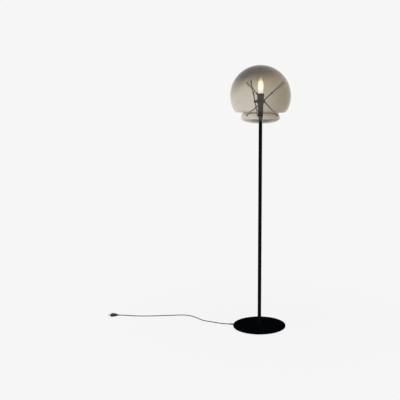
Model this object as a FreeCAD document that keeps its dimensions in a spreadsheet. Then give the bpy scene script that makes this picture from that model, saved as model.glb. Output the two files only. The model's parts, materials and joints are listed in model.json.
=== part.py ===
import FreeCAD, Part
import math
import os
import re
import Sketcher
from FreeCAD import Placement, Rotation, Vector

# A globe floor lamp: a round steel foot, a slim pole, and a smoked glass globe with a narrow collar.
# Inside the globe three hinged struts stand round the lampholder. Each one has a rubber foot in the
# collar and a fishbone-shaped upper end, and it folds up like an umbrella rib so that the glass can be
# lowered over it. +Z is up, the floor is z = 0, and the pole's axis is the Z axis. Millimetres.

SIZES = {
    # foot
    "foot_radius": 154.0,
    "foot_height": 8.0,
    "foot_edge": 1.5,
    "foot_chamfer": 0.8,
    "pad_height": 1.0,
    "pad_radius": 150.0,
    "pad_bore": 60.0,
    "lead_way": 5.6,
    "lead_level": 4.0,
    "recess_radius": 27.5,
    "recess_top": 5.0,
    "flange_radius": 27.0,
    "flange_thick": 3.0,
    "flange_screw_circle": 20.0,
    "screw_radius": 2.0,
    "screw_head_radius": 3.9,
    "screw_head_height": 2.0,
    "screw_length": 5.2,
    "screw_tap_depth": 2.1,
    "screw_hex": 1.25,
    "hex_depth": 1.2,
    # pole
    "pole_radius": 10.4,
    "pole_wall": 1.2,
    "pole_clearance": 0.1,
    "sleeve_clearance": 0.03,
    "lead_in": 1.0,
    "pole_joint": 606.0,
    "coupling_length": 72.0,
    "top_insert_length": 30.0,
    "rod_radius": 5.0,
    "rod_bore": 3.6,
    "rod_chamfer": 0.6,
    "rod_below_seat": 18.0,
    "rod_above_hub": 4.0,
    "rod_fit": 0.02,
    # seat of the globe
    "seat_level": 1194.0,
    "seat_radius": 46.0,
    "seat_thick": 3.0,
    "seat_edge": 0.4,
    "seat_fillet": 2.0,
    "seat_boss_top": 1209.0,
    "vent_radius": 9.0,
    "vent_circle": 28.5,
    "ring_bore": 42.0,
    "ring_foot_radius": 52.5,
    "ring_head_radius": 51.5,
    "ring_lip": 0.9,
    "ring_edge": 0.4,
    "glass_rest": 0.1,
    # stem inside the globe
    "stem_radius": 15.8,
    "stem_wall": 1.5,
    "cone_top": 1254.0,
    "stem_top": 1303.0,
    "hub_radius": 20.0,
    "hub_top": 1334.0,
    "hub_lower_chamfer": 3.0,
    "hub_upper_chamfer": 2.0,
    "boss_gap": 1.0,
    "stop_radius": 1.6,
    "stop_along": 12.5,
    "stop_below": 4.9,
    "web_length": 15.0,
    "web_height": 4.8,
    "web_below": 7.3,
    # struts
    "pivot_level": 1317.0,
    "pivot_circle": 32.9,
    "strut_radius": 3.0,
    "strut_foot_circle": 99.5,
    "strut_foot_level": 1237.0,
    "strut_tip_circle": 133.0,
    "strut_foot_ball": 4.5,
    "eye_radius": 7.5,
    "eye_width": 7.2,
    "pin_radius": 2.5,
    "pin_clearance": 0.05,
    "pin_fit": 0.02,
    "pin_head_radius": 4.6,
    "pin_head_height": 2.0,
    "pin_hex": 1.5,
    "washer_radius": 6.4,
    "washer_thick": 0.6,
    "face_clearance": 0.3,
    "foot_socket": 1.0,
    "sleeve_wall": 1.6,
    "sleeve_length": 12.0,
    "sleeve_overlap": 3.0,
    "comb_pitch": 14.9,
    "comb_spine_radius": 1.3,
    "comb_pin_radius": 2.6,
    "comb_pin_short": 5.0,
    "comb_pin_long": 9.5,
    # lampholder and bulb
    "holder_radius": 19.5,
    "holder_top": 1362.0,
    "holder_wall": 1.2,
    "holder_round": 3.0,
    "holder_floor": 2.4,
    "ceramic_floor": 4.6,
    "ceramic_hole": 8.4,
    "ceramic_web": 1.6,
    "ceramic_below_rim": 1.4,
    "nut_flat": 7.5,
    "nut_height": 2.0,
    "contact_length": 12.0,
    "contact_width": 4.0,
    "contact_thick": 0.6,
    "cap_radius": 13.1,
    "cap_base": 1341.0,
    "cap_contact_radius": 4.6,
    "cap_cone": 1.5,
    "thread_depth": 0.9,
    "thread_start": 2.5,
    "thread_pitch": 3.6,
    "thread_width": 3.0,
    "skirt_base": 1363.0,
    "skirt_flare": 8.0,
    "skirt_round": 40.0,
    "skirt_rim": 1.2,
    "skirt_lip": 1.5,
    "bulb_base": 1377.0,
    "bulb_neck": 14.0,
    "bulb_radius": 17.5,
    "bulb_belly": 27.0,
    "bulb_height": 84.0,
    "bulb_wall": 1.0,
    "bulb_flank": 105.9,
    "bulb_shoulder": 105.3,
    "bulb_tip": 2.4,
    "bulb_tip_round": 2.44,
    "filament_radius": 1.1,
    "filament_length": 44.0,
    "filament_circle": 7.6,
    "filament_level": 12.0,
    "filament_crown_level": 54.0,
    "filament_crown_radius": 5.2,
    "filament_lean": 4.0,
    "bulb_stem_radius": 5.0,
    "bulb_stem_tip": 1.6,
    "mast_radius": 0.9,
    "spoke_radius": 0.7,
    # globe
    "globe_radius": 175.0,
    "globe_centre": 1350.0,
    "glass_wall": 3.0,
    "lip_radius": 1.35,
    "shoulder_radius": 32.0,
    "shoulder_level": 1251.5,
    "waist_radius": 105.0,
    "waist_fillet": 6.0,
    "collar_radius": 113.0,
    "collar_fillet": 22.0,
    "bowl_radius": 130.0,
    "bowl_centre": 46.0,
    "mouth_radius": 48.0,
    # mains lead
    "cord_radius": 2.4,
    "gland_neck": 13.0,
    "gland_radius": 3.05,
    "gland_clearance": 0.05,
    "gland_collar": 3.8,
    "gland_sleeve": 27.0,
    "plug_boot": 16.0,
    "plug_shoulder": 20.0,
    "plug_rear": 12.0,
    "plug_edge": 2.6,
    "plug_length": 36.0,
    "plug_width": 34.0,
    "plug_height": 13.6,
    "plug_pin_radius": 2.0,
    "plug_pin_length": 19.0,
    "plug_pin_spacing": 18.6,
}
STRUT_FOOT_TURNS = (-20.0, 100.0, 220.0)
COMB_PINS = 7
THREAD_TURNS = 5
GLAND_TURN = 174.0
INNER_BEND = 6.5

# The lead's route on the floor, picked by hand: (x, y, z) from the tip of its strain relief to the plug.
CORD_ROUTE = [
    (-180.01, 18.92, 4.0),
    (-207.85, 21.85, 4.0),
    (-243.0, 40.5, 2.5),
    (-292.0, 64.5, 2.5),
    (-332.0, 80.5, 2.5),
    (-360.0, 108.0, 2.5),
    (-381.5, 135.0, 2.5),
    (-403.0, 157.5, 2.5),
    (-425.5, 173.5, 2.5),
    (-452.0, 185.5, 2.5),
    (-482.5, 189.0, 2.5),
    (-527.0, 183.5, 2.5),
    (-582.0, 175.0, 2.5),
    (-647.0, 167.5, 2.5),
    (-717.0, 162.5, 2.5),
    (-780.0, 162.0, 4.2),
    (-831.0, 164.5, 6.9),
    (-861.5, 166.5, 6.9),
]

doc = FreeCAD.newDocument("globe_floor_lamp")
sheet = doc.addObject("Spreadsheet::Sheet", "Dimensions")
for row, (alias, number) in enumerate(SIZES.items(), start=1):
    sheet.set("A%d" % row, alias)
    sheet.set("B%d" % row, str(number))
    sheet.setAlias("B%d" % row, alias)
doc.recompute()

SHEET_NAMES = {alias: "Dimensions." + alias for alias in SIZES}
parts = []


def size(words):
    """The value of an expression in the sheet's names, such as "pole_radius - pole_wall"."""
    return float(sheet.evalExpression(str(words)))


def bind(thing, prop, words):
    """Tie a property to an expression in the sheet's names."""
    named = re.sub(r"[a-z_]+", lambda word: SHEET_NAMES.get(word.group(), word.group()), str(words))
    thing.setExpression(prop, named)


def keep(thing, label):
    """Give a finished sub-part the name that its file takes."""
    thing.Label = label
    parts.append(thing)
    return thing


def on_level(thing, words):
    bind(thing, "Placement.Base.z", words)
    return thing


# ---------------------------------------------------------------- turned pieces


def arc_middle(start, end, radius):
    """The middle of the shorter arc from start to end; a positive radius bulges to the right."""
    chord = end - start
    sagitta = abs(radius) - math.sqrt(radius * radius - chord.Length ** 2 / 4)
    side = Vector(chord.y, -chord.x, 0).normalize()
    return (start + end) * 0.5 + side * math.copysign(sagitta, radius)


def fix_point(sketch, edge, end, words_across, words_up):
    for kind, axis, words in (("DistanceX", -2, words_across), ("DistanceY", -1, words_up)):
        if abs(size(words)) < 1e-6:
            sketch.addConstraint(Sketcher.Constraint("PointOnObject", edge, end, axis))
        else:
            number = sketch.addConstraint(Sketcher.Constraint(kind, edge, end, size(words)))
            bind(sketch, "Constraints[%d]" % number, words)


def outline(sketch, corners):
    """A closed outline. A corner is (across, up), or (across, up, radius) when an arc ends there."""
    places = [Vector(size(corner[0]), size(corner[1]), 0) for corner in corners]
    ends = []
    for index, corner in enumerate(corners):
        start, end = places[index - 1], places[index]
        if len(corner) == 2:
            edge = sketch.addGeometry(Part.LineSegment(start, end))
        else:
            middle = arc_middle(start, end, size(corner[2]))
            edge = sketch.addGeometry(Part.Arc(start, middle, end))
            number = sketch.addConstraint(Sketcher.Constraint("Radius", edge, abs(size(corner[2]))))
            bind(sketch, "Constraints[%d]" % number, "abs(%s)" % corner[2])
        forward = (sketch.getPoint(edge, 2) - end).Length < 1e-6
        ends.append((edge, 1, 2) if forward else (edge, 2, 1))
    for index, corner in enumerate(corners):
        edge, start, end = ends[index]
        following = ends[(index + 1) % len(corners)]
        sketch.addConstraint(Sketcher.Constraint("Coincident", edge, end, following[0], following[1]))
        fix_point(sketch, edge, end, corner[0], corner[1])


def plane(body, role):
    return [feature for feature in body.Origin.OriginFeatures if feature.Role == role][0]


def sketch_on(body, role, name):
    sketch = body.newObject("Sketcher::SketchObject", name)
    sketch.AttachmentSupport = (plane(body, role), [""])
    sketch.MapMode = "FlatFace"
    return sketch


def turned(label, corners, level="0"):
    """A body turned about Z from a half section, standing on the given level unless that is None."""
    body = doc.addObject("PartDesign::Body", label + "_body")
    sketch = sketch_on(body, "XZ_Plane", label + "_section")
    outline(sketch, corners)
    turn = body.newObject("PartDesign::Revolution", label + "_turn")
    turn.Profile = sketch
    turn.ReferenceAxis = (sketch, ["V_Axis"])
    turn.Angle = 360
    body.Tip = turn
    if level:
        on_level(body, level)
    return body


def tube(label, outer, bore, height, level):
    return turned(label, [(bore, "0"), (outer, "0"), (outer, height), (bore, height)], level)


# ---------------------------------------------------------------- primitives


def cylinder(name, radius, height, place=None):
    solid = doc.addObject("Part::Cylinder", name)
    bind(solid, "Radius", radius)
    bind(solid, "Height", height)
    if place:
        solid.Placement = place
    return solid


def box(name, length, width, height, place=None):
    solid = doc.addObject("Part::Box", name)
    bind(solid, "Length", length)
    bind(solid, "Width", width)
    bind(solid, "Height", height)
    if place:
        solid.Placement = place
    return solid


def ball(name, radius, place=None):
    solid = doc.addObject("Part::Sphere", name)
    bind(solid, "Radius", radius)
    if place:
        solid.Placement = place
    return solid


def cone(name, radius_below, radius_above, height, place=None):
    solid = doc.addObject("Part::Cone", name)
    bind(solid, "Radius1", radius_below)
    bind(solid, "Radius2", radius_above)
    bind(solid, "Height", height)
    if place:
        solid.Placement = place
    return solid


def fused(name, pieces):
    whole = doc.addObject("Part::MultiFuse", name)
    whole.Shapes = pieces
    whole.Refine = True
    return whole


def cut(name, base, tools):
    tool = tools[0] if len(tools) == 1 else fused(name + "_tools", tools)
    rest = doc.addObject("Part::Cut", name)
    rest.Base = base
    rest.Tool = tool
    return rest


def common(name, pieces):
    shared = doc.addObject("Part::MultiCommon", name)
    shared.Shapes = pieces
    return shared


def at(x, y, z, turn=None):
    return Placement(Vector(x, y, z), turn or Rotation())


ALONG_X = Rotation(Vector(0, 1, 0), 90)
ALONG_Y = Rotation(Vector(1, 0, 0), -90)
ABOUT_Z = Vector(0, 0, 1)


def round_the_axis(name, count, radius_words, make):
    """Copies of a small solid on a circle about Z; make(name, placement) builds each one."""
    copies = []
    for index in range(count):
        turn = Rotation(ABOUT_Z, 360.0 * index / count)
        spot = turn.multVec(Vector(size(radius_words), 0, 0))
        copies.append(make("%s_%d" % (name, index + 1), Placement(spot, turn)))
    return copies


# ---------------------------------------------------------------- foot

gland_way = Placement(Vector(0, 0, 0), Rotation(ABOUT_Z, GLAND_TURN))


def base_plate():
    """A steel disc with a rounded rim; underneath, a recess for the flange and a channel for the lead."""
    disc = turned("base_disc", [
        ("recess_radius", "0"),
        ("foot_radius - foot_chamfer", "0"),
        ("foot_radius", "foot_chamfer"),
        ("foot_radius", "foot_height - pad_height - foot_edge"),
        ("foot_radius - foot_edge", "foot_height - pad_height", "foot_edge"),
        ("pole_radius + pole_clearance", "foot_height - pad_height"),
        ("pole_radius + pole_clearance", "recess_top - pad_height"),
        ("recess_radius", "recess_top - pad_height"),
    ], "pad_height")
    channel = box("lead_channel", "foot_radius", "lead_way", "lead_level + lead_way / 2",
                  gland_way * at(0, -size("lead_way") / 2, 0))
    rim = size("foot_radius - gland_neck")
    notch = cylinder("gland_notch", "gland_radius + gland_clearance", "gland_neck + 1",
                     gland_way * at(rim, 0, size("lead_level"), ALONG_X))
    notch_floor = box("gland_notch_floor", "gland_neck + 1", "2 * (gland_radius + gland_clearance)",
                      "lead_level", gland_way * at(rim, -size("gland_radius + gland_clearance"), 0))
    ceiling = at(0, 0, size("recess_top") - 0.1)
    holes = round_the_axis("flange_tap", 3, "flange_screw_circle",
                           lambda name, place: cylinder(name, "screw_radius + rod_fit",
                                                        "screw_tap_depth + 0.4", ceiling * place))
    return keep(cut("base_plate_cut", disc, [channel, notch, notch_floor] + holes), "base_plate")


def base_pad():
    ring = tube("pad_ring", "pad_radius", "pad_bore", "pad_height", "0")
    gap = box("pad_gap", "foot_radius", "lead_way", "pad_height + 2",
              gland_way * at(size("pad_bore") / 2, -size("lead_way") / 2, -1))
    return keep(cut("base_pad_cut", ring, [gap]), "base_pad")


def pole_flange():
    """The disc on the pole's lower end, screwed up into the recess of the foot."""
    low = size("recess_top") - size("flange_thick")
    disc = tube("flange_disc", "flange_radius", "pole_radius + rod_fit", "flange_thick",
                "recess_top - flange_thick")
    slot = box("flange_slot", "flange_radius", "lead_way", "flange_thick + 2",
               gland_way * at(0, -size("lead_way") / 2, low - 1))
    holes = round_the_axis("flange_hole", 3, "flange_screw_circle",
                           lambda name, place: countersink(name, at(0, 0, low) * place, "pin_clearance"))
    return keep(cut("pole_flange_cut", disc, [slot] + holes), "pole_flange")


def countersink(name, place, clearance):
    """A countersunk head with its shank, head down; the same form cuts the hole that it sits in."""
    head = cone(name + "_head", "screw_head_radius + " + clearance, "screw_radius + " + clearance,
                "screw_head_height")
    shank = cylinder(name + "_shank", "screw_radius + " + clearance, "screw_length")
    screw = fused(name, [head, shank])
    screw.Placement = place
    return screw


def flange_screws():
    low = size("recess_top") - size("flange_thick")
    screws = round_the_axis("flange_screw", 3, "flange_screw_circle",
                            lambda name, place: countersink(name, at(0, 0, low) * place, "0"))
    sockets = round_the_axis("flange_socket", 3, "flange_screw_circle",
                             lambda name, place: hexagon(name, "screw_hex", "hex_depth + 0.2",
                                                         at(0, 0, low - 0.2) * place))
    return keep(cut("flange_screws_cut", fused("flange_screw_set", screws), sockets), "flange_screws")


def hexagon(name, flat, height, place):
    """A hexagonal prism that measures twice the given flat across its flats."""
    prism = doc.addObject("Part::Prism", name)
    prism.Polygon = 6
    bind(prism, "Circumradius", flat + " / cos(30)")
    bind(prism, "Height", height)
    prism.Placement = place
    return prism


# ---------------------------------------------------------------- pole


def poles():
    bore = "pole_radius - pole_wall"
    low = size("recess_top") - size("flange_thick")
    lower = tube("lower_tube", "pole_radius", bore, "pole_joint - recess_top + flange_thick",
                 "recess_top - flange_thick")
    slot = box("lead_slot", "flange_radius", "lead_way", "lead_level + lead_way / 2",
               gland_way * at(0, -size("lead_way") / 2, 0))
    keep(cut("lower_pole_cut", lower, [slot]), "lower_pole")
    keep(tube("upper_pole", "pole_radius", bore, "seat_level - pole_joint", "pole_joint"), "upper_pole")
    keep(turned("pole_coupling", [
        ("rod_radius", "0"),
        (bore + " - lead_in", "0"),
        (bore + " - sleeve_clearance", "lead_in"),
        (bore + " - sleeve_clearance", "coupling_length - lead_in"),
        (bore + " - lead_in", "coupling_length"),
        ("rod_radius", "coupling_length"),
    ], "pole_joint - coupling_length / 2"), "pole_coupling")
    keep(turned("pole_top_insert", [
        ("rod_radius + rod_fit", "0"),
        (bore + " - lead_in", "0"),
        (bore + " - sleeve_clearance", "lead_in"),
        (bore + " - sleeve_clearance", "top_insert_length"),
        ("rod_radius + rod_fit", "top_insert_length"),
    ], "seat_level - top_insert_length"), "pole_top_insert")
    length = "rod_below_seat + hub_top - seat_level + rod_above_hub"
    keep(turned("hollow_rod", [
        ("rod_bore", "0"),
        ("rod_radius - rod_chamfer", "0"),
        ("rod_radius", "rod_chamfer"),
        ("rod_radius", length),
        ("rod_radius - rod_chamfer", length + " + rod_chamfer"),
        ("rod_bore", length + " + rod_chamfer"),
    ], "seat_level - rod_below_seat"), "hollow_rod")


# ---------------------------------------------------------------- seat and stem


def globe_seat():
    """A disc with a boss that fills the globe's mouth; three vents in it let warm air move."""
    disc = turned("seat_disc", [
        ("rod_radius + rod_fit", "0"),
        ("seat_radius - seat_edge", "0"),
        ("seat_radius", "seat_edge"),
        ("seat_radius", "seat_thick - seat_edge"),
        ("seat_radius - seat_edge", "seat_thick"),
        ("pole_radius + seat_fillet", "seat_thick"),
        ("pole_radius", "seat_thick + seat_fillet", "-seat_fillet"),
        ("pole_radius", "seat_boss_top - seat_level"),
        ("rod_radius + rod_fit", "seat_boss_top - seat_level"),
    ], "seat_level")
    under = at(0, 0, size("seat_level") - 1)
    vents = round_the_axis("seat_vent", 3, "vent_circle",
                           lambda name, place: cylinder(name, "vent_radius", "seat_thick + 2",
                                                        under * place))
    return keep(cut("globe_seat_cut", disc, vents), "globe_seat")


def seat_ring():
    """A grommet with two grooves: the inner one grips the seat's rim, the outer one the glass's lip."""
    web, groove_top = "mouth_radius - glass_rest / 2", "seat_thick + 3 * glass_rest"
    return keep(turned("seat_ring", [
        ("ring_bore", "-ring_lip"),
        ("ring_foot_radius - ring_edge", "-ring_lip"),
        ("ring_foot_radius", "ring_edge - ring_lip"),
        ("ring_foot_radius", "glass_rest"),
        (web, "glass_rest"),
        (web, groove_top),
        ("ring_head_radius", groove_top),
        ("ring_head_radius - ring_edge", groove_top + " + ring_lip"),
        ("ring_bore", groove_top + " + ring_lip"),
        ("ring_bore", "seat_thick + rod_fit"),
        ("seat_radius + rod_fit", "seat_thick + rod_fit"),
        ("seat_radius + rod_fit", "-rod_fit"),
        ("ring_bore", "-rod_fit"),
    ], "seat_level"), "seat_ring")


def stem():
    """A cone that carries the pole's width on to the wider tube under the hub."""
    keep(turned("stem_cone", [
        ("rod_radius + rod_fit", "0"),
        ("pole_radius", "0"),
        ("stem_radius", "cone_top - seat_boss_top - stem_wall"),
        ("stem_radius", "cone_top - seat_boss_top"),
        ("rod_radius + rod_fit", "cone_top - seat_boss_top"),
    ], "seat_boss_top"), "stem_cone")
    keep(tube("stem_tube", "stem_radius", "stem_radius - stem_wall", "stem_top - cone_top", "cone_top"),
         "stem_tube")


def foot_to_pivot():
    """How far along its own plane a strut's foot is from its pivot."""
    return math.sqrt(size("strut_foot_circle") ** 2 - size("pivot_circle") ** 2)


def strut_slope():
    return math.atan2(size("pivot_level") - size("strut_foot_level"), foot_to_pivot())


def strut_place(turn):
    """The strut's own frame: origin on the pivot, X up along the strut, Y towards the stem."""
    lean = math.degrees(math.acos(size("pivot_circle") / size("strut_foot_circle")))
    outward = Rotation(ABOUT_Z, turn + lean)
    place = Placement(outward.multVec(Vector(size("pivot_circle"), 0, size("pivot_level"))),
                      outward * Rotation(ABOUT_Z, 90))
    return place * Placement(Vector(0, 0, 0), Rotation(Vector(0, 1, 0), -math.degrees(strut_slope())))


def arm_hub():
    """The turned hub on top of the stem, with a boss for each strut's pivot and a stop beside it."""
    core = turned("hub_core", [
        ("0", "0"),
        ("stem_radius", "0"),
        ("hub_radius", "hub_lower_chamfer"),
        ("hub_radius", "hub_top - stem_top - hub_lower_chamfer"),
        ("hub_radius - hub_upper_chamfer", "hub_top - stem_top"),
        ("0", "hub_top - stem_top"),
    ], "stem_top")
    bosses, bores = [], []
    for number, turn in enumerate(STRUT_FOOT_TURNS, start=1):
        place = strut_place(turn)
        gap = size("eye_width / 2 + boss_gap")
        boss = cylinder("boss_%d" % number, "eye_radius", "hub_radius - 4", place * at(0, gap, 0, ALONG_Y))
        reach = at(size("stop_along"), gap - size("eye_width"), -size("stop_below"), ALONG_Y)
        stop = cylinder("stop_%d" % number, "stop_radius", "eye_width + 3", place * reach)
        web = box("stop_web_%d" % number, "web_length", "hub_radius - 2", "web_height",
                  place * at(0, gap + size("face_clearance"), -size("web_below")))
        bosses += [boss, stop, web]
        bores.append(cylinder("boss_bore_%d" % number, "pin_radius + pin_fit", "14",
                              place * at(0, gap - 1, 0, ALONG_Y)))
    body = fused("hub_body", [core] + bosses)
    rod_way = on_level(cylinder("hub_way", "rod_radius + rod_fit", "hub_top - stem_top + 2"),
                       "stem_top - 1")
    return keep(cut("arm_hub_cut", body, bores + [rod_way]), "arm_hub")


# ---------------------------------------------------------------- struts


def strut(number, turn):
    """One hinged strut: a rod with an eye, a rubber ball at its foot and a fishbone at its upper end."""
    place = strut_place(turn)
    foot = math.hypot(foot_to_pivot(), size("pivot_level") - size("strut_foot_level"))
    tip = math.sqrt(size("strut_tip_circle") ** 2 - size("pivot_circle") ** 2) / math.cos(strut_slope())
    comb = tip - (COMB_PINS - 0.5) * size("comb_pitch")
    half_eye, air, socket_depth = size("eye_width") / 2, size("face_clearance"), size("foot_socket")

    rod = cylinder("rod_%d" % number, "strut_radius", str(foot + comb - socket_depth),
                   at(socket_depth - foot, 0, 0, ALONG_X))
    eye = cylinder("eye_%d" % number, "eye_radius", "eye_width", at(0, -half_eye, 0, ALONG_Y))
    bore = cylinder("eye_bore_%d" % number, "pin_radius + pin_clearance", "eye_width + 2",
                    at(0, -half_eye - 1, 0, ALONG_Y))
    arm = keep(cut("arm_rod_cut_%d" % number, fused("arm_blank_%d" % number, [rod, eye]), [bore]),
               "arm_rod_%d" % number)
    arm.Placement = place

    rubber = ball("ball_%d" % number, "strut_foot_ball", at(-foot, 0, 0))
    socket = cylinder("ball_bore_%d" % number, "strut_radius", "2 * strut_foot_ball",
                      at(socket_depth - foot, 0, 0, ALONG_X))
    cap = keep(cut("arm_foot_cut_%d" % number, rubber, [socket]), "arm_foot_%d" % number)
    cap.Placement = place

    sleeve = cylinder("sleeve_%d" % number, "strut_radius + sleeve_wall", "sleeve_length",
                      at(comb + size("sleeve_overlap - sleeve_length"), 0, 0, ALONG_X))
    spine = cylinder("spine_%d" % number, "comb_spine_radius", str(tip - comb), at(comb, 0, 0, ALONG_X))
    bones = [sleeve, spine]
    for index in range(COMB_PINS):
        share = index / (COMB_PINS - 1)
        half = size("comb_pin_short") * (1 - share) + size("comb_pin_long") * share
        along = comb + size("comb_pitch") * (index + 0.5)
        bones.append(cylinder("bone_%d_%d" % (number, index + 1), "comb_pin_radius", str(2 * half),
                              at(along, 0, -half)))
    pocket = cylinder("comb_bore_%d" % number, "strut_radius", str(foot + comb), at(-foot, 0, 0, ALONG_X))
    fishbone = keep(cut("arm_comb_cut_%d" % number, fused("comb_blank_%d" % number, bones), [pocket]),
                    "arm_comb_%d" % number)
    fishbone.Placement = place

    head_face = -half_eye - air
    head = cylinder("pin_head_%d" % number, "pin_head_radius", "pin_head_height",
                    at(0, head_face - size("pin_head_height"), 0, ALONG_Y))
    shank = cylinder("pin_shank_%d" % number, "pin_radius", "eye_width + 12", at(0, head_face, 0, ALONG_Y))
    slot = hexagon("pin_socket_%d" % number, "pin_hex", "hex_depth + 0.2",
                   at(0, head_face - size("pin_head_height") - 0.2, 0, ALONG_Y))
    pin = keep(cut("pivot_pin_cut_%d" % number, fused("pin_blank_%d" % number, [head, shank]), [slot]),
               "pivot_pin_%d" % number)
    pin.Placement = place

    washer = cylinder("washer_disc_%d" % number, "washer_radius", "washer_thick",
                      at(0, half_eye + air, 0, ALONG_Y))
    washer_bore = cylinder("washer_bore_%d" % number, "pin_radius + pin_clearance", "washer_thick + 2",
                           at(0, half_eye + air - 1, 0, ALONG_Y))
    spacer = keep(cut("pivot_washer_cut_%d" % number, washer, [washer_bore]), "pivot_washer_%d" % number)
    spacer.Placement = place


# ---------------------------------------------------------------- lampholder and bulb


def lampholder():
    """A metal shell round a ceramic body with the screw shell's bore, its contacts and a rod nut."""
    keep(turned("holder_shell", [
        ("rod_radius + rod_fit", "0"),
        ("holder_radius - holder_round", "0"),
        ("holder_radius", "holder_round", "holder_round"),
        ("holder_radius", "holder_top - hub_top - 1"),
        ("holder_radius - holder_wall", "holder_top - hub_top", "holder_wall"),
        ("holder_radius - holder_wall", "holder_floor"),
        ("rod_radius + rod_fit", "holder_floor"),
    ], "hub_top"), "holder_shell")
    outside = "holder_radius - holder_wall - pole_clearance"
    rim = "holder_top - hub_top - ceramic_below_rim"
    keep(turned("holder_body", [
        ("ceramic_hole", "ceramic_floor"),
        (outside, "ceramic_floor"),
        (outside, rim),
        ("cap_radius + 0.6", rim),
        ("cap_radius + 0.6", "ceramic_floor + ceramic_web"),
        ("ceramic_hole", "ceramic_floor + ceramic_web"),
    ], "hub_top"), "holder_body")
    nut = hexagon("nut_blank", "nut_flat", "nut_height", at(0, 0, size("hub_top + holder_floor")))
    nut_way = on_level(cylinder("nut_way", "rod_radius + rod_fit", "nut_height + 2"),
                       "hub_top + holder_floor - 1")
    keep(cut("holder_nut_cut", nut, [nut_way]), "holder_nut")
    spring = box("contact_strip", "contact_length", "contact_width", "contact_thick",
                 at(-size("contact_length / 2"), -size("contact_width / 2"),
                    size("cap_base - contact_thick - pin_clearance")))
    keep(spring, "holder_contact")


def bulb():
    """An LED candle bulb: threaded cap, white skirt, glass envelope, and filament sticks on a stem."""
    root = "cap_radius - thread_depth"
    thread = [("cap_contact_radius", "0"), ("cap_radius - 3", "cap_cone")]
    for turn in range(THREAD_TURNS):
        low = "thread_start + %d * thread_pitch" % turn
        thread.append((root, low))
        thread.append((root, low + " + thread_width", "2.2"))
    thread += [(root, "skirt_base - cap_base"), ("0", "skirt_base - cap_base"), ("0", "0")]
    keep(turned("bulb_cap", thread, "cap_base"), "bulb_cap")
    keep(turned("bulb_skirt", [
        ("0", "0"),
        ("cap_radius - 0.4", "0"),
        ("bulb_neck + skirt_rim", "skirt_flare", "skirt_round"),
        ("bulb_neck + skirt_rim", "bulb_base - skirt_base + skirt_lip"),
        ("bulb_neck + 0.5", "bulb_base - skirt_base + skirt_lip"),
        ("bulb_neck + 0.5", "bulb_base - skirt_base"),
        ("0", "bulb_base - skirt_base"),
    ], "skirt_base"), "bulb_skirt")
    keep(turned("bulb_glass", [
        ("bulb_neck - bulb_wall", "0"),
        ("bulb_neck", "0"),
        ("bulb_radius", "bulb_belly", "bulb_flank"),
        ("bulb_tip", "bulb_height - 2", "bulb_shoulder"),
        ("0", "bulb_height", "bulb_tip_round"),
        ("0", "bulb_height - 2"),
        ("1.2", "bulb_height - 3.4", "-1.2143"),
        ("bulb_radius - bulb_wall", "bulb_belly", "bulb_wall - bulb_shoulder"),
    ], "bulb_base"), "bulb_glass")
    base = size("bulb_base")
    stem_glass = cone("filament_stem", "bulb_stem_radius", "bulb_stem_tip", "filament_level + 4",
                      at(0, 0, base + size("rod_fit")))
    foot = at(0, 0, base + size("filament_level"))
    mast = cylinder("filament_mast", "mast_radius", "filament_crown_level - filament_level + 4", foot)
    crown = cylinder("filament_crown", "filament_crown_radius", "1",
                     at(0, 0, base + size("filament_crown_level")))
    inwards = at(0, 0, 0, Rotation(Vector(0, 1, 0), -size("filament_lean")))
    sticks = round_the_axis("filament", 4, "filament_circle",
                            lambda name, place: cylinder(name, "filament_radius", "filament_length",
                                                         foot * place * inwards))
    outwards = at(0, 0, 1, ALONG_X)
    spokes = round_the_axis("filament_foot", 4, "3",
                            lambda name, place: cylinder(name, "spoke_radius", "filament_crown_radius",
                                                         foot * place * outwards))
    keep(fused("filament_set", [stem_glass, mast, crown] + sticks + spokes), "bulb_filaments")


# ---------------------------------------------------------------- globe


def globe_shapes(offset):
    """Centres, radii and joints of the globe's arcs, moved in from the outer face by offset."""
    big, centre = size("globe_radius"), size("globe_centre")
    round_off, level = size("shoulder_radius"), size("shoulder_level")
    shoulder_up = level + round_off
    shoulder_out = math.sqrt((big - round_off) ** 2 - (shoulder_up - centre) ** 2)
    waist_out, waist_up = size("waist_radius + waist_fillet"), level - size("waist_fillet")
    collar_out = size("collar_radius - collar_fillet")
    bridge = size("waist_fillet + collar_fillet")
    collar_up = waist_up - math.sqrt(bridge ** 2 - (waist_out - collar_out) ** 2)
    reach = size("bowl_radius - collar_fillet")
    bowl_up = collar_up + math.sqrt(reach ** 2 - (collar_out - size("bowl_centre")) ** 2)
    centres = [Vector(0, centre, 0), Vector(shoulder_out, shoulder_up, 0), Vector(waist_out, waist_up, 0),
               Vector(collar_out, collar_up, 0), Vector(size("bowl_centre"), bowl_up, 0)]
    radii = [big - offset, round_off - offset, size("waist_fillet") + offset,
             size("collar_fillet") - offset, size("bowl_radius") - offset]

    def towards(first, second, length):
        return centres[first] + (centres[second] - centres[first]).normalize() * length

    lip = centres[4] + Vector(size("mouth_radius") - centres[4].x, 0, 0)
    lip.y -= math.sqrt(radii[4] ** 2 - (size("mouth_radius") - centres[4].x) ** 2)
    joints = [Vector(0, centre + radii[0], 0),
              towards(0, 1, radii[0]),
              centres[1] - Vector(0, radii[1], 0),
              centres[2] + Vector(0, radii[2], 0),
              towards(2, 3, radii[2]),
              towards(4, 3, radii[4]),
              lip]
    return centres, radii, joints


def arc_round(centre, start, end, flip=1):
    middle = centre + ((start + end) * 0.5 - centre).normalize() * (start - centre).Length * flip
    return Part.Arc(start, middle, end)


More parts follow.
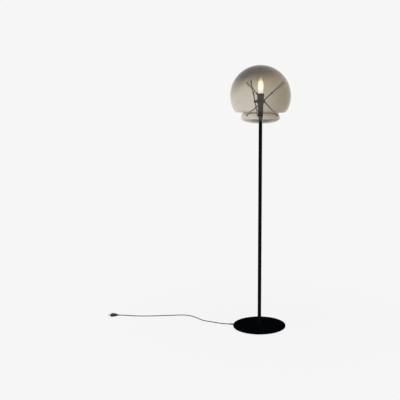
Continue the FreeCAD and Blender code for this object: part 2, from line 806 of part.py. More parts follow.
def globe_shell():
    """One blown shell: sphere, tight shoulder, flat underside, waist, collar and shallow bowl."""
    body = doc.addObject("PartDesign::Body", "globe_body")
    sketch = sketch_on(body, "XZ_Plane", "globe_section")
    sides = []
    for offset in (0.0, size("glass_wall")):
        centres, radii, joints = globe_shapes(offset)
        edges = [arc_round(centres[0], joints[0], joints[1]),
                 arc_round(centres[1], joints[1], joints[2]),
                 Part.LineSegment(joints[2], joints[3]),
                 arc_round(centres[2], joints[3], joints[4]),
                 arc_round(centres[3], joints[4], joints[5]),
                 arc_round(centres[4], joints[5], joints[6])]
        sides.append([(sketch.addGeometry(edge), joints[i], joints[i + 1]) for i, edge in enumerate(edges)])

    def end_of(edge, point):
        return 1 if (sketch.getPoint(edge, 1) - point).Length < 1e-5 else 2

    def join(first, second, point):
        sketch.addConstraint(Sketcher.Constraint("Tangent", first, end_of(first, point),
                                                 second, end_of(second, point)))

    for side in sides:
        for (first, _, point), (second, _, _) in zip(side, side[1:]):
            join(first, second, point)
        crown, crown_point, _ = side[0]
        sketch.addConstraint(Sketcher.Constraint("PointOnObject", crown, end_of(crown, crown_point), -2))
        sketch.addConstraint(Sketcher.Constraint("Horizontal", side[2][0]))
    outer, inner = [[edge for edge, _, _ in side] for side in sides]
    sketch.addConstraint(Sketcher.Constraint("PointOnObject", outer[0], 3, -2))
    for edge in (0, 1, 3, 4, 5):
        sketch.addConstraint(Sketcher.Constraint("Coincident", outer[edge], 3, inner[edge], 3))
    top = sketch.addGeometry(Part.LineSegment(sides[1][0][1], sides[0][0][1]))
    lip_out, lip_in = sides[0][5][2], sides[1][5][2]
    lip = sketch.addGeometry(Part.LineSegment(lip_out, lip_in))
    for edge, end, other, point in ((top, 2, outer[0], sides[0][0][1]), (top, 1, inner[0], sides[1][0][1]),
                                    (lip, 1, outer[5], lip_out), (lip, 2, inner[5], lip_in)):
        sketch.addConstraint(Sketcher.Constraint("Coincident", edge, end, other, end_of(other, point)))
    sketch.addConstraint(Sketcher.Constraint("Vertical", lip))

    def measure(kind, place, words):
        number = sketch.addConstraint(Sketcher.Constraint(kind, *place, size(words)))
        bind(sketch, "Constraints[%d]" % number, words)

    measure("DistanceY", (outer[0], 3), "globe_centre")
    measure("Radius", (outer[0],), "globe_radius")
    measure("DistanceY", (top, 1, top, 2), "glass_wall")
    measure("Radius", (outer[1],), "shoulder_radius")
    measure("DistanceY", (outer[2], 1), "shoulder_level")
    measure("Radius", (outer[3],), "waist_fillet")
    measure("DistanceX", (outer[3], 3), "waist_radius + waist_fillet")
    measure("Radius", (outer[4],), "collar_fillet")
    measure("DistanceX", (outer[4], 3), "collar_radius - collar_fillet")
    measure("Radius", (outer[5],), "bowl_radius")
    measure("DistanceX", (outer[5], 3), "bowl_centre")
    measure("DistanceX", (lip, 1), "mouth_radius")
    blow = body.newObject("PartDesign::Revolution", "globe_turn")
    blow.Profile = sketch
    blow.ReferenceAxis = (sketch, ["V_Axis"])
    blow.Angle = 360
    body.Tip = blow
    doc.recompute()
    width = 2 * size("mouth_radius")
    rims = ["Edge%d" % (number + 1) for number, edge in enumerate(blow.Shape.Edges)
            if edge.BoundBox.ZLength < 0.1 and abs(edge.BoundBox.XLength - width) < 0.1]
    fire_polish = body.newObject("PartDesign::Fillet", "globe_lip")
    fire_polish.Base = (blow, rims)
    bind(fire_polish, "Radius", "lip_radius")
    body.Tip = fire_polish
    return body


def globe_rings(shell):
    """The one shell, kept as three rings that meet face to face at its waist and at its equator."""
    waist = "shoulder_level - waist_fillet"
    for label, low, high in (("globe_collar", "seat_level - 10", waist),
                             ("globe_belly", waist, "globe_centre"),
                             ("globe_crown", "globe_centre", "globe_centre + globe_radius + 5")):
        band = on_level(cylinder(label + "_band", "globe_radius + 5", "%s - (%s)" % (high, low)), low)
        keep(common(label + "_common", [shell, band]), label)


# ---------------------------------------------------------------- mains lead


def rounded_path(points, tell=""):
    """Straight runs joined by tangent arcs, each arc as large as its two runs allow."""
    points = [Vector(*point) for point in points]
    edges, start, radii = [], points[0], []
    for before, corner, after in zip(points, points[1:], points[2:]):
        back, ahead = (before - corner), (after - corner)
        half_turn = (math.pi - back.getAngle(ahead)) / 2
        cut_back = 0.45 * min(back.Length, ahead.Length)
        radius = cut_back / math.tan(half_turn)
        back.normalize()
        ahead.normalize()
        first, last = corner + back * cut_back, corner + ahead * cut_back
        bisector = (back + ahead).normalize()
        middle = corner + bisector * (radius / math.cos(half_turn) - radius)
        edges.append(Part.LineSegment(start, first).toShape())
        edges.append(Part.Arc(first, middle, last).toShape())
        start = last
        radii.append(round(radius, 1))
    edges.append(Part.LineSegment(start, points[-1]).toShape())
    if tell:
        print(tell, "bend radii:", radii)
    return Part.Wire(edges)


def swept_cord(label, wire, radius):
    """A round cord along a path, as a feature of its own because no sketch plane holds its route."""
    heading = wire.Edges[0].tangentAt(wire.Edges[0].FirstParameter)
    ring = Part.Wire([Part.makeCircle(radius, wire.Vertexes[0].Point, heading)])
    solid = wire.makePipeShell([ring], True, False)
    expected = math.pi * radius ** 2 * wire.Length
    print("%s length %.1f, volume ratio %.4f" % (label, wire.Length, solid.Volume / expected))
    cord = doc.addObject("Part::Feature", label + "_sweep")
    cord.Shape = solid
    cord.Placement = Placement()
    return keep(cord, label)


def mains_lead():
    radius = size("cord_radius")
    swept_cord("power_cord", rounded_path(CORD_ROUTE, "power_cord"), radius)

    # Inside the foot the lead runs along the channel, turns up in the pole and ends at the lampholder.
    level, bend = size("lead_level"), INNER_BEND
    inner = size("foot_radius + gland_sleeve")
    outward = gland_way.Rotation
    route = [Vector(inner, 0, level), Vector(bend, 0, level), Vector(0, 0, level + bend),
             Vector(0, 0, size("hub_top") + 1.0)]
    middle = Vector(bend - bend * math.sin(math.pi / 4), 0, level + bend - bend * math.cos(math.pi / 4))
    route = [outward.multVec(point) for point in route]
    wire = Part.Wire([Part.LineSegment(route[0], route[1]).toShape(),
                      Part.Arc(route[1], outward.multVec(middle), route[2]).toShape(),
                      Part.LineSegment(route[2], route[3]).toShape()])
    swept_cord("inner_lead", wire, radius)

    # The gland: a collar in the rim's notch and a tapered sleeve outside it.
    gland = turned("gland_turn", [
        ("cord_radius + rod_fit", "0"),
        ("gland_radius", "0"),
        ("gland_radius", "gland_neck + 0.2"),
        ("gland_collar", "gland_neck + 0.2"),
        ("gland_collar", "gland_neck + 2.5"),
        ("cord_radius + 0.8", "gland_neck + gland_sleeve - 0.8"),
        ("cord_radius + rod_fit", "gland_neck + gland_sleeve", "1"),
    ], None)
    gland.Placement = gland_way * at(size("foot_radius - gland_neck"), 0, level, ALONG_X)
    keep(gland, "cord_gland")


def plug():
    """A flat two-pin plug that lies on the floor, its pins pointing away from the lamp."""
    tail, before = Vector(*CORD_ROUTE[-1]), Vector(*CORD_ROUTE[-2])
    heading = Rotation(Vector(1, 0, 0), Vector(tail.x - before.x, tail.y - before.y, 0))
    place = Placement(Vector(tail.x, tail.y, 0), heading)
    body = doc.addObject("PartDesign::Body", "plug_shell")
    sketch = sketch_on(body, "XY_Plane", "plug_plan")
    front = "plug_boot + plug_length"
    outline(sketch, [
        ("plug_boot", "plug_width - plug_rear / 2"),
        ("plug_boot + plug_shoulder", "plug_width / 2"),
        (front, "plug_width / 2"),
        (front, "1.5 * plug_width"),
        ("plug_boot + plug_shoulder", "1.5 * plug_width"),
        ("plug_boot", "plug_width + plug_rear / 2"),
    ])
    pad = body.newObject("PartDesign::Pad", "plug_pad")
    pad.Profile = sketch
    bind(pad, "Length", "plug_height")
    body.Tip = pad
    doc.recompute()
    rounded = body.newObject("PartDesign::Fillet", "plug_edges")
    rounded.Base = (pad, ["Edge%d" % (number + 1) for number, edge in enumerate(pad.Shape.Edges)
                          if abs(edge.CenterOfMass.x - size(front)) > 0.1])
    bind(rounded, "Radius", "plug_edge")
    body.Tip = rounded
    body.Placement = at(0, -size("plug_width"), 0.1)
    sleeve = cone("boot_sleeve", "cord_radius + 0.8", "5", "plug_boot + 3", at(0, 0, tail.z, ALONG_X))
    whole = keep(fused("plug_fuse", [body, sleeve]), "plug_body")
    whole.Placement = place
    pins = []
    for side in (-1, 1):
        across, start = side * size("plug_pin_spacing") / 2, size(front)
        pins.append(cylinder("plug_pin_%d" % side, "plug_pin_radius", "plug_pin_length - 2",
                             at(start, across, tail.z, ALONG_X)))
        pins.append(ball("plug_pin_end_%d" % side, "plug_pin_radius",
                         at(start + size("plug_pin_length - 2"), across, tail.z)))
    prongs = keep(fused("plug_pin_set", pins), "plug_pins")
    prongs.Placement = place


base_plate()
base_pad()
pole_flange()
flange_screws()
poles()
globe_seat()
seat_ring()
stem()
arm_hub()
for strut_number, strut_turn in enumerate(STRUT_FOOT_TURNS, start=1):
    strut(strut_number, strut_turn)
lampholder()
bulb()
globe_rings(globe_shell())
mains_lead()
plug()

doc.recompute()
faults = [thing.Name for thing in doc.Objects if "Invalid" in thing.State or "Error" in thing.State]
faults += [part.Label for part in parts if part.Shape.isNull() or not part.Shape.isValid()]
if faults:
    raise SystemExit("not built: " + ", ".join(faults))

os.makedirs("parts", exist_ok=True)
for part in parts:
    part.Shape.exportStep("parts/%s.step" % part.Label)
    print("%-16s solids %d volume %.0f" % (part.Label, len(part.Shape.Solids), part.Shape.Volume))
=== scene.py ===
import json
import math

import bpy
from mathutils import Euler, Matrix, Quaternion, Vector


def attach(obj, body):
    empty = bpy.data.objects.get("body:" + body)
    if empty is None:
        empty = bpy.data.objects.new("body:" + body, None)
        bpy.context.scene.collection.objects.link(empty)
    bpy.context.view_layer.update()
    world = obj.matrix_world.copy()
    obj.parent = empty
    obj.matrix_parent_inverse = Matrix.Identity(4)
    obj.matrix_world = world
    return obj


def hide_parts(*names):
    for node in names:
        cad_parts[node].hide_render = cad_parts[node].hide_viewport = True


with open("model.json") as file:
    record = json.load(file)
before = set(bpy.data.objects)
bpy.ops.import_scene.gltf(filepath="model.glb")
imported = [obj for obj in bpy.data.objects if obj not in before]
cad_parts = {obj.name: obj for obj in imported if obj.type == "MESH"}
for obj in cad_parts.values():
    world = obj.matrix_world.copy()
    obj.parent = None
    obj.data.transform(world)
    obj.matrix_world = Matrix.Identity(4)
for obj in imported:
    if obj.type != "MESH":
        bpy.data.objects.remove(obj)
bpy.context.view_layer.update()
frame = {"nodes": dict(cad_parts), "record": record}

MM = 0.001
GLOBE_RADIUS = 0.175
GLOBE_CENTRE = 1.350
SAME_PLACE = 1e-5
NODES = frame["nodes"]


# ---------------------------------------------------------------- small tools
def linear(hex_colour):
    """Turns an sRGB colour such as "#1A1B1C" into linear red, green, blue and alpha."""
    parts = [int(hex_colour[place:place + 2], 16) / 255 for place in (1, 3, 5)]
    return [part / 12.92 if part <= 0.04045 else ((part + 0.055) / 1.055) ** 2.4 for part in parts] + [1.0]


def per_size(millimetres):
    """The scale that gives a pattern on Object coordinates cells of this size."""
    return 1.0 / (millimetres * MM)


def add_node(tree, kind, links=None, **settings):
    """Adds a shader node. A link is a socket's name or number, with the value or the output it takes."""
    made = tree.nodes.new(kind)
    for name, value in settings.items():
        setattr(made, name, value)
    for socket, value in (links or {}).items():
        if isinstance(value, bpy.types.NodeSocket):
            tree.links.new(value, made.inputs[socket])
        else:
            made.inputs[socket].default_value = value
    return made


def ramp(tree, factor, stops):
    """Adds a colour ramp with its stops as (place, hex colour)."""
    made = add_node(tree, "ShaderNodeValToRGB", {"Fac": factor})
    elements = made.color_ramp.elements
    while len(elements) < len(stops):
        elements.new(0.5)
    for element, (place, colour) in zip(elements, stops):
        element.position = place
        element.color = linear(colour)
    return made.outputs["Color"]


def math_of(tree, operation, first, second):
    """The output of a math node on two values."""
    return add_node(tree, "ShaderNodeMath", {0: first, 1: second}, operation=operation).outputs[0]


def start_material(name):
    """An empty material: its tree, its Principled shader and the Object coordinates."""
    made = bpy.data.materials.new(name)
    made.use_nodes = True
    tree = made.node_tree
    tree.nodes.clear()
    shader = add_node(tree, "ShaderNodeBsdfPrincipled")
    add_node(tree, "ShaderNodeOutputMaterial", {"Surface": shader.outputs["BSDF"]})
    place = add_node(tree, "ShaderNodeTexCoord").outputs["Object"]
    return made, tree, shader, place


def share_between(tree, value, low, high):
    """0 where the value is low and 1 where it is high."""
    return add_node(tree, "ShaderNodeMapRange", {"Value": value, "From Min": low, "From Max": high,
                                                 "To Min": 0.0, "To Max": 1.0}).outputs["Result"]


def height_share(tree, place, low, high):
    """0 at the low level and 1 at the high one, both in metres above the floor."""
    height = add_node(tree, "ShaderNodeSeparateXYZ", {"Vector": place}).outputs["Z"]
    return share_between(tree, height, low, high)


def noise(tree, place, size_mm, detail=2.0):
    """Slow or fine noise with cells of about this size."""
    return add_node(tree, "ShaderNodeTexNoise", {"Vector": place, "Scale": per_size(size_mm),
                                                 "Detail": detail}).outputs["Fac"]


def spread(tree, factor, low, high):
    """Takes a pattern's middle range to low..high."""
    return add_node(tree, "ShaderNodeMapRange", {"Value": factor, "From Min": 0.3, "From Max": 0.7,
                                                 "To Min": low, "To Max": high}).outputs["Result"]


def relief(tree, shader, height, depth_mm):
    """Gives the shader a bump of this depth."""
    bump = add_node(tree, "ShaderNodeBump", {"Height": height, "Distance": depth_mm * MM, "Strength": 1.0})
    tree.links.new(bump.outputs["Normal"], shader.inputs["Normal"])


def plain_finish(name, dark, light, patch_mm, gloss, grain_mm, grain_depth_mm, metallic=0.0, ior=1.5,
                 specular=0.5):
    """A finish whose colour drifts between two shades, with a fine relief."""
    made, tree, shader, place = start_material(name)
    tint = ramp(tree, noise(tree, place, patch_mm, 4.0), [(0.3, dark), (0.7, light)])
    tree.links.new(tint, shader.inputs["Base Color"])
    shader.inputs["Metallic"].default_value = metallic
    shader.inputs["Specular IOR Level"].default_value = specular
    if not metallic:
        shader.inputs["IOR"].default_value = ior
    grain = noise(tree, place, grain_mm, 3.0)
    tree.links.new(spread(tree, grain, gloss - 0.05, gloss + 0.05), shader.inputs["Roughness"])
    relief(tree, shader, grain, grain_depth_mm)
    return made


# ---------------------------------------------------------------- finishes
# Polyester powder coat on steel: melted grains leave a fine pebbled skin that spreads its highlight.
powder_coat = plain_finish("powder_coated_steel", "#070708", "#0B0B0C", 18.0, 0.66, 1.2, 0.03, specular=0.03)

# Thicker structured powder coat on the plate: a little bluer than the pole, and dead matt.
plate_coat = plain_finish("powder_coated_plate", "#030409", "#06070C", 30.0, 0.70, 1.4, 0.03, specular=0.0)

# Satin black paint inside the globe, tinted warm brown: painted light from the lamp.
painted_lamp_light_paint = plain_finish("black_paint_with_painted_lamp_light", "#120B07", "#1C130D", 9.0, 0.50, 0.8, 0.015, specular=0.12)

# Rods in the same paint, with the same warm brown tint of painted lamp light.
painted_lamp_light_rod_paint = plain_finish("black_rod_paint_with_painted_lamp_light", "#0A0603", "#120B06", 6.0, 0.55, 0.8, 0.010, specular=0.06)

# Moulded black rubber: dull, slightly grey where it has been handled.
rubber = plain_finish("moulded_rubber", "#0A0A0A", "#121110", 5.0, 0.75, 0.7, 0.02, specular=0.2)

# Cut EPDM foam: open pores.
foam = plain_finish("cut_foam_rubber", "#202022", "#34343A", 2.0, 0.95, 1.0, 0.25)

# Zinc plate on turned steel.
zinc = plain_finish("zinc_plated_steel", "#A9ACAF", "#C6C8C9", 12.0, 0.32, 0.9, 0.006, metallic=1.0)

# Blackened steel pins.
black_steel = plain_finish("blackened_steel", "#2B2A29", "#45423F", 5.0, 0.30, 0.6, 0.006, metallic=1.0)

# Natural nylon washers.
nylon = plain_finish("natural_nylon", "#C9C6B8", "#DEDBD0", 4.0, 0.45, 0.8, 0.01, ior=1.53)

# Glazed steatite porcelain.
porcelain = plain_finish("glazed_porcelain", "#D9D5CA", "#E9E6DD", 14.0, 0.16, 6.0, 0.01, ior=1.54)

# Brass contact spring.
brass = plain_finish("sprung_brass", "#B08A45", "#C9A35C", 5.0, 0.28, 0.6, 0.005, metallic=1.0)

# Rolled aluminium screw cap.
cap_metal = plain_finish("rolled_aluminium", "#B9BABA", "#D4D5D4", 6.0, 0.27, 0.7, 0.008, metallic=1.0)

# Extruded PVC sheath and moulded PVC plug: matt with a faint drag along them.
sheath = plain_finish("extruded_pvc", "#050505", "#090909", 9.0, 0.65, 1.0, 0.02, ior=1.53, specular=0.04)
plug_pvc = plain_finish("moulded_pvc", "#0C0C0D", "#151516", 7.0, 0.50, 0.9, 0.02, ior=1.53, specular=0.3)

# Nickel plated brass pins.
nickel = plain_finish("nickel_plated_brass", "#B9B09A", "#D0C8B4", 6.0, 0.22, 0.7, 0.004, metallic=1.0)


SMOKE_LEVELS = (1.204, 1.535)
# How far the smoke's dark leans to the -X side: a painted dark reflection.
PAINTED_REFLECTION_LEAN = 0.2
# Where the painted shade darkens the glass, from -X to +X.
PAINTED_SHADE_SIDE = (-0.05, 0.175)
# The way the painted dark reflection faces, from the globe's centre.
PAINTED_REFLECTION_WAY = (-0.75, 0.0, 0.65)
# The levels of the painted shade in the bowl and at the waist.
PAINTED_SHADE_LEVELS = (1.194, 1.264)
BULB_LEVELS = (1.377, 1.461)


def smoked_glass():
    """Blown glass with smoke in the melt, densest in the crown, with slow waves; painted shade darkens the +X
    side, the bowl's floor and the waist, and a painted dark reflection the upper -X side.
    """
    made, tree, shader, place = start_material("blown_smoked_glass_painted_shade")
    split = add_node(tree, "ShaderNodeSeparateXYZ", {"Vector": place}).outputs
    # The smoke's levels lean, so the dark comes lower on the -X side: a painted dark reflection.
    tilted = math_of(tree, "SUBTRACT", split["Z"], math_of(tree, "MULTIPLY", split["X"], PAINTED_REFLECTION_LEAN))
    level = share_between(tree, tilted, *SMOKE_LEVELS)
    smoke_with_painted_reflection = ramp(tree, level, [(0.0, "#E6E1DA"), (0.34, "#E5E0D8"), (0.58, "#E1DBD0"), (0.65, "#DBD5C9"),
                               (0.72, "#CDC6BA"), (0.79, "#B3AA9D"), (0.86, "#948C80"), (0.93, "#6E6A5F"),
                               (1.0, "#54524A")])
    # Painted shade: the glass is darker towards +X and lighter on the -X side, which faces the light.
    across = share_between(tree, split["X"], *PAINTED_SHADE_SIDE)
    painted_side_shade = ramp(tree, across, [(0.0, "#FFFFFF"), (1.0, "#CCC3B5")])
    # A painted dark, bluish reflection on the upper -X side: how far a point faces that way, 1 at its middle.
    from_centre = add_node(tree, "ShaderNodeVectorMath", {0: place, 1: (0.0, 0.0, GLOBE_CENTRE)},
                           operation="SUBTRACT").outputs["Vector"]
    painted_reflection_axis = tuple(part / GLOBE_RADIUS for part in PAINTED_REFLECTION_WAY)
    facing = add_node(tree, "ShaderNodeVectorMath", {0: from_centre, 1: painted_reflection_axis},
                      operation="DOT_PRODUCT").outputs["Value"]
    painted_dark_reflection = ramp(tree, facing, [(0.60, "#FFFFFF"), (0.95, "#D7DAE1")])
    # Painted shade in the bowl's floor and in a ring where the neck was drawn in, for the dark reflections
    # and lines that the glass shows there.
    low = height_share(tree, place, *PAINTED_SHADE_LEVELS)
    painted_bowl_shade = ramp(tree, low, [(0.0, "#ACAAA6"), (0.143, "#B4B2AE"), (0.257, "#FFFFFF"), (0.707, "#FFFFFF"),
                             (0.75, "#CFCDC2"), (0.836, "#CFCDC2"), (0.886, "#FFFFFF")])
    tint = smoke_with_painted_reflection
    for share in (painted_side_shade, painted_dark_reflection, painted_bowl_shade):
        tint = add_node(tree, "ShaderNodeMix", {0: 1.0, 6: tint, 7: share}, data_type="RGBA",
                        blend_type="MULTIPLY").outputs[2]
    tree.links.new(tint, shader.inputs["Base Color"])
    shader.inputs["Roughness"].default_value = 0.0
    shader.inputs["IOR"].default_value = 1.5
    shader.inputs["Transmission Weight"].default_value = 1.0
    relief(tree, shader, noise(tree, place, 60.0, 1.0), 0.05)
    return made


def lit_envelope():
    """The lit bulb's satin glass: its tip is warmer because the filaments end below it."""
    made, tree, shader, place = start_material("satin_bulb_glass")
    level = height_share(tree, place, *BULB_LEVELS)
    tint = ramp(tree, level, [(0.0, "#FCFAFA"), (0.6, "#FAF6F4"), (0.85, "#F2E4D0"), (1.0, "#E6D8C4")])
    tree.links.new(tint, shader.inputs["Base Color"])
    glow = ramp(tree, level, [(0.0, "#FFEBD6"), (0.55, "#FFF0DA"), (0.75, "#DCCBB4"), (1.0, "#7E7264")])
    tree.links.new(glow, shader.inputs["Emission Color"])
    shader.inputs["Emission Strength"].default_value = 0.30
    shader.inputs["Transmission Weight"].default_value = 1.0
    shader.inputs["IOR"].default_value = 1.5
    shader.inputs["Roughness"].default_value = 0.25
    return made


def lit_plastic():
    """The bulb's white plastic skirt, lit through by the bulb."""
    made, tree, shader, place = start_material("lit_white_plastic")
    tint = ramp(tree, noise(tree, place, 8.0), [(0.3, "#F3EFE8"), (0.7, "#FBF8F2")])
    tree.links.new(tint, shader.inputs["Base Color"])
    shader.inputs["Roughness"].default_value = 0.3
    shader.inputs["Emission Color"].default_value = linear("#FFF3E6")
    shader.inputs["Emission Strength"].default_value = 0.9
    return made


def lit_filament():
    """The filament sticks' phosphor, which glows."""
    made, tree, shader, place = start_material("phosphor_filament")
    tint = ramp(tree, noise(tree, place, 2.0), [(0.3, "#FFE0A0"), (0.7, "#FFEBC0")])
    tree.links.new(tint, shader.inputs["Base Color"])
    shader.inputs["Emission Color"].default_value = linear("#F4EFFF")
    shader.inputs["Emission Strength"].default_value = 1.6
    return made


glass = smoked_glass()
FINISH_OF_SLOT = {
    "powder_coat": powder_coat, "base_steel": plate_coat, "foam_pad": foam, "zinc_steel": zinc,
    "seat_metal": painted_lamp_light_paint, "seal_rubber": rubber, "stem_metal": painted_lamp_light_paint, "strut_metal": painted_lamp_light_rod_paint,
    "foot_rubber": rubber, "comb_rubber": rubber, "pin_steel": black_steel, "nylon": nylon,
    "holder_metal": painted_lamp_light_paint, "porcelain": porcelain, "brass_contact": brass, "bulb_cap_metal": cap_metal,
    "bulb_skirt_plastic": lit_plastic(), "bulb_envelope": lit_envelope(), "filament": lit_filament(),
    "smoked_glass": glass, "cord_sheath": sheath, "gland_rubber": rubber, "plug_plastic": plug_pvc,
    "plug_pin_metal": nickel,
}

for subpart in frame["record"]["subparts"]:
    node_object = NODES[subpart["node"]]
    finish = FINISH_OF_SLOT[subpart["material_slot"]]
    for slot in node_object.material_slots:
        slot.material = finish


# ---------------------------------------------------------------- camera
# The camera's numbers in pixels are those of a picture this wide.
PICTURE = 400
FOCUS_PX = 643.99
AXIS_PX = 260.23
EYE_PX = 164.0
CAMERA_PLACE = (0.0, -3.7101, 1.25125)
LOOK_DOWN = math.radians(4.53)
ROLL = math.radians(0.33)


def camera():
    """The camera, with a lens shift that puts its axis off the frame's middle."""
    made = bpy.data.cameras.new("camera")
    made.sensor_width = 36.0
    made.lens = FOCUS_PX / PICTURE * made.sensor_width
    made.shift_x = -(AXIS_PX - PICTURE / 2) / PICTURE
    made.shift_y = -(PICTURE / 2 - EYE_PX) / PICTURE
    eye = bpy.data.objects.new("camera", made)
    eye.location = CAMERA_PLACE
    level = Euler((math.pi / 2 - LOOK_DOWN, 0.0, 0.0)).to_quaternion()
    eye.rotation_mode = "QUATERNION"
    eye.rotation_quaternion = level @ Quaternion((0.0, 0.0, 1.0), ROLL)
    bpy.context.scene.collection.objects.link(eye)
    bpy.context.scene.camera = eye


camera()
bpy.context.scene.view_settings.view_transform = "Standard"


# ---------------------------------------------------------------- mains lead
CORD_ROUTE = [
    (-0.18001, 0.01892, 0.0040), (-0.20785, 0.02185, 0.0040), (-0.2430, 0.0405, 0.0025),
    (-0.2920, 0.0645, 0.0025), (-0.3320, 0.0805, 0.0025), (-0.3600, 0.1080, 0.0025),
    (-0.3815, 0.1350, 0.0025), (-0.4030, 0.1575, 0.0025), (-0.4255, 0.1735, 0.0025),
    (-0.4520, 0.1855, 0.0025), (-0.4825, 0.1890, 0.0025), (-0.5270, 0.1835, 0.0025),
    (-0.5820, 0.1750, 0.0025), (-0.6470, 0.1675, 0.0025), (-0.7170, 0.1625, 0.0025),
    (-0.7800, 0.1620, 0.0042), (-0.8310, 0.1645, 0.0069), (-0.8615, 0.1665, 0.0069),
]
CORD_RADIUS = 0.0024


def mains_lead():
    """The lead from the gland to the plug, at its real length on the floor."""
    curve = bpy.data.curves.new("mains_lead", "CURVE")
    curve.dimensions = "3D"
    curve.bevel_depth = CORD_RADIUS
    curve.bevel_resolution = 5
    curve.use_fill_caps = True
    spline = curve.splines.new("NURBS")
    spline.points.add(len(CORD_ROUTE) - 1)
    for point, place in zip(spline.points, CORD_ROUTE):
        point.co = (*place, 1.0)
    spline.order_u = 3
    spline.use_endpoint_u = True
    spline.resolution_u = 12
    lead = bpy.data.objects.new("mains_lead", curve)
    bpy.context.scene.collection.objects.link(lead)
    curve.materials.append(sheath)
    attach(lead, "root")
    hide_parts("power_cord")


mains_lead()


# ---------------------------------------------------------------- globe
GLASS_WALL = 0.003
LIP_RADIUS = 0.0012
LIP_REACH = 0.0006
GLOBE_FOOT = 1.1941
ROUND_STEPS = 160
RING_STEPS = 96
LIP_STEPS = 4
SOFT_ANGLE = math.radians(50)

# The lower half of the blown profile as arcs: centre (across, up), radius, where the arc ends, and its steps.
# The arc with a negative radius bends the other way, and starts at the end of the flat underside.
NECK_ARCS = [
    ((0.12660, 1.28350), 0.03200, (0.12660, 1.25150), 10),
    ((0.11100, 1.24550), -0.00600, (0.10671, 1.24130), 7),
    ((0.09100, 1.22590), 0.02200, (0.10017, 1.20590), 12),
    ((0.04600, 1.32408), 0.13000, (0.04800, 1.19410), 12),
]
NECK_START = (0.154926, 1.268619)
FLAT_END = (0.11100, 1.25150)


def neck_stations():
    """Where each ring of the neck lies, as (across, up), from the sphere down to the lip."""
    stations, here = [], NECK_START
    for centre, radius, end, steps in NECK_ARCS:
        if radius < 0:
            stations.append(FLAT_END)
            here = FLAT_END
        first = math.atan2(here[1] - centre[1], here[0] - centre[0])
        last = math.atan2(end[1] - centre[1], end[0] - centre[0])
        turn = (last - first + math.pi) % (2 * math.pi) - math.pi
        for step in range(1, steps + 1):
            angle = first + turn * step / steps
            stations.append((centre[0] + abs(radius) * math.cos(angle),
                             centre[1] + abs(radius) * math.sin(angle)))
        here = end
    return stations


def select_edges(piece, wanted):
    """Selects the edges whose two ends both pass the test, in edit mode."""
    bpy.ops.mesh.select_mode(type="EDGE")
    bpy.ops.mesh.select_all(action="DESELECT")
    bpy.ops.object.mode_set(mode="OBJECT")
    points = piece.data.vertices
    for edge in piece.data.edges:
        edge.select = all(wanted(points[corner].co) for corner in edge.vertices)
    bpy.ops.object.mode_set(mode="EDIT")


def keep_rings(piece):
    """Of the selected edges, keeps those that run round the axis at one radius."""
    bpy.ops.object.mode_set(mode="OBJECT")
    points = piece.data.vertices
    for edge in piece.data.edges:
        if edge.select:
            first, second = (points[corner].co for corner in edge.vertices)
            edge.select = abs(math.hypot(first.x, first.y) - math.hypot(second.x, second.y)) < SAME_PLACE
    bpy.ops.object.mode_set(mode="EDIT")


def blown_globe():
    """One shell, as it is blown: a sphere drawn in to a waist, a collar and a shallow bowl with a mouth."""
    bpy.ops.object.select_all(action="DESELECT")
    bpy.ops.mesh.primitive_uv_sphere_add(segments=ROUND_STEPS, ring_count=RING_STEPS, radius=GLOBE_RADIUS,
                                         location=(0.0, 0.0, GLOBE_CENTRE))
    globe = bpy.context.object
    globe.name = "blown_globe"
    bpy.ops.object.transform_apply(location=True, rotation=False, scale=False)
    bpy.ops.object.mode_set(mode="EDIT")
    bpy.ops.mesh.select_all(action="SELECT")
    bpy.ops.mesh.bisect(plane_co=(0.0, 0.0, NECK_START[1]), plane_no=(0.0, 0.0, 1.0), clear_inner=True)
    select_edges(globe, lambda point: abs(point.z - NECK_START[1]) < SAME_PLACE)
    across, up = NECK_START
    for next_across, next_up in neck_stations():
        bpy.ops.mesh.extrude_region_move(TRANSFORM_OT_translate={"value": (0.0, 0.0, next_up - up)})
        bpy.ops.transform.resize(value=(next_across / across, next_across / across, 1.0),
                                 center_override=(0.0, 0.0, next_up))
        across, up = next_across, next_up
    bpy.ops.mesh.select_all(action="SELECT")
    bpy.ops.mesh.remove_doubles(threshold=1e-6)
    bpy.ops.mesh.normals_make_consistent(inside=False)
    bpy.ops.object.mode_set(mode="OBJECT")
    wall = globe.modifiers.new("wall", "SOLIDIFY")
    wall.thickness = GLASS_WALL
    wall.offset = -1.0
    wall.use_even_offset = True
    bpy.ops.object.modifier_apply(modifier="wall")
    bpy.ops.object.mode_set(mode="EDIT")
    mouth = NECK_ARCS[-1][2][0]
    select_edges(globe, lambda point: point.z < GLOBE_FOOT + 2 * GLASS_WALL
                 and math.hypot(point.x, point.y) < mouth + LIP_REACH)
    keep_rings(globe)
    bpy.ops.mesh.bevel(offset=LIP_RADIUS, segments=LIP_STEPS, affect="EDGES")
    bpy.ops.object.mode_set(mode="OBJECT")
    bpy.ops.object.shade_smooth_by_angle(angle=SOFT_ANGLE)
    globe.data.materials.append(glass)
    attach(globe, "root")
    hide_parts("globe_crown", "globe_belly", "globe_collar")


blown_globe()


# ---------------------------------------------------------------- studio
BACKGROUND = "#F6F6F6"
PLAIN_LIGHT = 0.60
FLOOR_COLOUR = "#F0F0F0"
FLOOR_SIZE = 8.0
# The floor shows the background by this share up to the first distance, and in full from the second on.
SHADOW_DISTANCES = (0.3, 1.2)
SHOWN_NEAR = 0.90


def background_rays(tree):
    """1 where the background shows as it is: to the camera, through glass, and in metal and glass."""
    rays = add_node(tree, "ShaderNodeLightPath").outputs
    through = math_of(tree, "MAXIMUM", rays["Is Camera Ray"], rays["Is Transmission Ray"])
    return math_of(tree, "MAXIMUM", through, rays["Is Glossy Ray"])


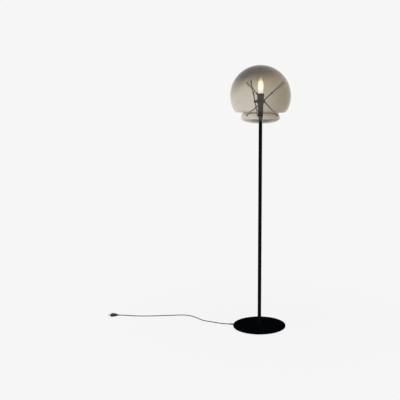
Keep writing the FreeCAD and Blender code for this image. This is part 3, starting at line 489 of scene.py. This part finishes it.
def studio_floor():
    """A pale floor without a horizon; near the lamp a share of it takes light, so that it keeps a shadow."""
    bpy.ops.object.select_all(action="DESELECT")
    bpy.ops.mesh.primitive_plane_add(size=FLOOR_SIZE, location=(0.0, 0.0, 0.0))
    floor = bpy.context.object
    floor.name = "studio_floor"
    made, tree, shader, place = start_material("pale_floor")
    shader.inputs["Base Color"].default_value = linear(FLOOR_COLOUR)
    shader.inputs["Roughness"].default_value = 1.0
    shader.inputs["Specular IOR Level"].default_value = 0.0
    away = add_node(tree, "ShaderNodeVectorMath", {0: place}, operation="LENGTH").outputs["Value"]
    near, far = SHADOW_DISTANCES
    bare = add_node(tree, "ShaderNodeMapRange", {"Value": away, "From Min": near, "From Max": far,
                                                 "To Min": SHOWN_NEAR, "To Max": 1.0}).outputs["Result"]
    share = math_of(tree, "MULTIPLY", background_rays(tree), bare)
    glow = add_node(tree, "ShaderNodeEmission", {"Color": linear(BACKGROUND), "Strength": 1.0}).outputs[0]
    mixed = add_node(tree, "ShaderNodeMixShader", {"Fac": share, 1: shader.outputs[0], 2: glow}).outputs[0]
    tree.links.new(mixed, tree.nodes["Material Output"].inputs["Surface"])
    floor.data.materials.append(made)


def studio_world():
    """Even soft light all round, behind which the background shows in its own colour."""
    world = bpy.data.worlds.new("studio")
    bpy.context.scene.world = world
    world.use_nodes = True
    tree = world.node_tree
    tree.nodes.clear()
    seen_glow = add_node(tree, "ShaderNodeBackground", {"Color": linear(BACKGROUND),
                                                        "Strength": 1.0}).outputs[0]
    room_glow = add_node(tree, "ShaderNodeBackground", {"Color": linear("#FFFFFF"),
                                                        "Strength": PLAIN_LIGHT}).outputs[0]
    mixed = add_node(tree, "ShaderNodeMixShader", {"Fac": background_rays(tree), 1: room_glow,
                                                   2: seen_glow}).outputs[0]
    add_node(tree, "ShaderNodeOutputWorld", {"Surface": mixed})


def softbox(name, place, aim, width, height, watts):
    """A lamp that gives light but no mirror image: metal and glass show the background instead."""
    lamp = bpy.data.lights.new(name, "AREA")
    lamp.shape = "RECTANGLE"
    lamp.size, lamp.size_y = width, height
    lamp.energy = watts
    made = bpy.data.objects.new(name, lamp)
    made.location = place
    made.rotation_euler = (Vector(aim) - Vector(place)).to_track_quat("-Z", "Y").to_euler()
    made.visible_camera = False
    made.visible_glossy = False
    made.visible_transmission = False
    bpy.context.scene.collection.objects.link(made)


studio_floor()
studio_world()
softbox("left_softbox", (-2.6, -2.2, 1.7), (0.0, 0.0, 1.1), 1.6, 2.0, 76.0)
softbox("right_softbox", (3.0, -1.6, 1.9), (0.0, 0.0, 1.0), 1.4, 1.8, 40.0)
